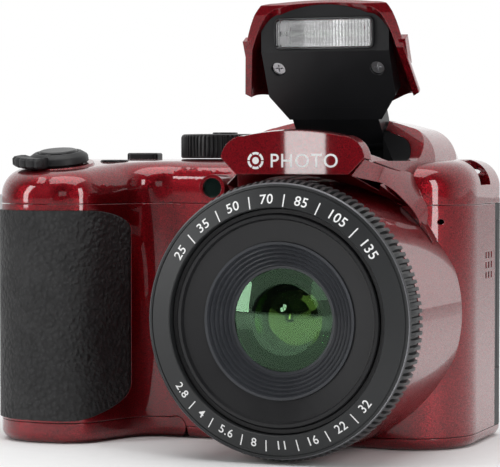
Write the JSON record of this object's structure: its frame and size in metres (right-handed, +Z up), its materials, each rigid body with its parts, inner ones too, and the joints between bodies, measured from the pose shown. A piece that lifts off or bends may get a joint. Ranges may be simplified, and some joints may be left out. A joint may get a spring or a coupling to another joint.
{
  "type": "compact digital camera",
  "caption": "Compact long-zoom digital camera with a hand grip, a knurled lens ring, zoom barrels that extend, and a flash that folds into a hump.",
  "frame": {"origin": "centre of the tripod socket's mouth, in the base plane", "axes": "+X to the right as seen from the front, -Y the way the lens points, +Z up; the tripod screw leaves along -Z"},
  "size_m": [0.1145, 0.0777, 0.1054],
  "materials": {
    "red_shell": "metallic red with a clear gloss coat",
    "black_plastic": "moulded black",
    "satin_black": "satin black",
    "lens_ring_satin": "dark grey satin",
    "grip_rubber": "leather grain",
    "clear_glass": "coated glass",
    "dark_glass": "smoked gloss",
    "flash_lens": "ribbed clear",
    "steel": "zinc plated",
    "bright_chrome": "polished",
    "circuit_board": "solder mask",
    "screen_panel": "satin",
    "cell_wrap": "printed sleeve"
  },
  "bodies": {
    "camera_body": {"top_cover": "red_shell", "front_cover": "red_shell", "rear_cover": "black_plastic", "base_plate": "red_shell", "grip_skin": "grip_rubber", "lens_collar": "red_shell", "lens_ring": "lens_ring_satin", "lens_housing": "black_plastic", "guide_rods": "steel", "image_sensor": "circuit_board", "chassis": "steel", "case_screws": "steel", "tripod_bushing": "steel", "main_board": "circuit_board", "lcd_panel": "screen_panel", "lcd_window": "dark_glass", "top_board": "circuit_board", "button_board": "circuit_board", "flash_capacitor": "cell_wrap", "battery_case": "black_plastic", "battery_cells": "cell_wrap", "battery_contacts": "steel", "door_pin": "steel", "card_slot": "steel", "flash_pin": "steel", "flash_well": "black_plastic", "strap_lugs": "bright_chrome", "sound_parts": "black_plastic", "focus_lamp": "dark_glass", "usb_socket": "steel"},
    "flash_head": {"flash_cover": "red_shell", "flash_panel": "black_plastic", "flash_screws": "steel", "flash_window": "flash_lens", "flash_reflector": "bright_chrome", "flash_tube": "clear_glass"},
    "zoom_rear": {"zoom_barrel_rear": "satin_black"},
    "zoom_front": {"zoom_barrel_front": "satin_black", "ridge_ring": "satin_black", "front_lens": "clear_glass", "glass_baffle": "satin_black", "second_lens": "clear_glass", "shutter_unit": "satin_black"},
    "focus_group": {"focus_lens": "clear_glass"},
    "battery_door": {"battery_door": "red_shell", "door_contacts": "steel"},
    "door_latch": {"door_latch": "black_plastic"},
    "memory_card": {"memory_card": "black_plastic"},
    "mode_dial": {"mode_dial": "satin_black"},
    "zoom_lever": {"zoom_lever": "satin_black"},
    "shutter_button": {"shutter_button": "satin_black"},
    "power_button": {"power_button": "satin_black"},
    "burst_button": {"burst_button": "satin_black"},
    "control_pad": {"control_pad": "satin_black"},
    "set_button": {"set_button": "satin_black"},
    "menu_button": {"menu_button": "satin_black"},
    "playback_button": {"playback_button": "satin_black"},
    "delete_button": {"delete_button": "satin_black"},
    "record_button": {"record_button": "satin_black"},
    "port_door": {"port_door": "black_plastic"}
  },
  "joints": [
    {"name": "flash_lift", "type": "hinge", "parent": "camera_body", "child": "flash_head", "pos_m": [0.024, -0.0018, 0.0732], "axis": [1, 0, 0], "range_deg": [0, 62]},
    {"name": "zoom_extend", "type": "slide", "parent": "camera_body", "child": "zoom_rear", "axis": [0, -1, 0], "range_m": [0, 0.018]},
    {"name": "zoom_front_extend", "type": "slide", "parent": "zoom_rear", "child": "zoom_front", "axis": [0, -1, 0], "range_m": [0, 0.016]},
    {"name": "focus_slide", "type": "slide", "parent": "camera_body", "child": "focus_group", "axis": [0, -1, 0], "range_m": [-0.002, 0.002]},
    {"name": "battery_door_hinge", "type": "hinge", "parent": "camera_body", "child": "battery_door", "pos_m": [-0.0156, 0, 0.0026], "axis": [0, -1, 0], "range_deg": [0, 95]},
    {"name": "latch_slide", "type": "slide", "parent": "battery_door", "child": "door_latch", "axis": [1, 0, 0], "range_m": [0, 0.003]},
    {"name": "card_slide", "type": "slide", "parent": "camera_body", "child": "memory_card", "axis": [0, 0, -1], "range_m": [0, 0.003]},
    {"name": "mode_dial_turn", "type": "hinge", "parent": "camera_body", "child": "mode_dial", "pos_m": [-0.0118, 0.0096, 0.07], "axis": [0, 0, 1], "continuous": true},
    {"name": "zoom_lever_turn", "type": "hinge", "parent": "camera_body", "child": "zoom_lever", "pos_m": [-0.044, -0.02, 0.06626], "axis": [0, -0.1564, 0.9877], "range_deg": [-20, 20], "stiffness_Nm_per_rad": 0.02},
    {"name": "shutter_press", "type": "slide", "parent": "camera_body", "child": "shutter_button", "axis": [0, 0.1564, -0.9877], "range_m": [0, 0.0008], "stiffness_N_per_m": 600},
    {"name": "power_press", "type": "slide", "parent": "camera_body", "child": "power_button", "axis": [0, 0, -1], "range_m": [0, 0.0006], "stiffness_N_per_m": 500},
    {"name": "burst_press", "type": "slide", "parent": "camera_body", "child": "burst_button", "axis": [0, 0, -1], "range_m": [0, 0.0006], "stiffness_N_per_m": 500},
    {"name": "control_pad_press", "type": "slide", "parent": "camera_body", "child": "control_pad", "axis": [0, -1, 0], "range_m": [0, 0.0004], "stiffness_N_per_m": 500},
    {"name": "set_press", "type": "slide", "parent": "camera_body", "child": "set_button", "axis": [0, -1, 0], "range_m": [0, 0.0006], "stiffness_N_per_m": 500},
    {"name": "menu_press", "type": "slide", "parent": "camera_body", "child": "menu_button", "axis": [0, -1, 0], "range_m": [0, 0.0006], "stiffness_N_per_m": 500},
    {"name": "playback_press", "type": "slide", "parent": "camera_body", "child": "playback_button", "axis": [0, -1, 0], "range_m": [0, 0.0006], "stiffness_N_per_m": 500},
    {"name": "delete_press", "type": "slide", "parent": "camera_body", "child": "delete_button", "axis": [0, -1, 0], "range_m": [0, 0.0006], "stiffness_N_per_m": 500},
    {"name": "record_press", "type": "slide", "parent": "camera_body", "child": "record_button", "axis": [0, -1, 0], "range_m": [0, 0.0006], "stiffness_N_per_m": 500},
    {"name": "port_door_hinge", "type": "hinge", "parent": "camera_body", "child": "port_door", "pos_m": [0.0564, 0.0163, 0.035], "axis": [0, 0, -1], "range_deg": [0, 85]}
  ],
  "couplings": [
    {"joint": "zoom_front_extend", "follows": "zoom_extend", "ratio": 0.88889}
  ]
}
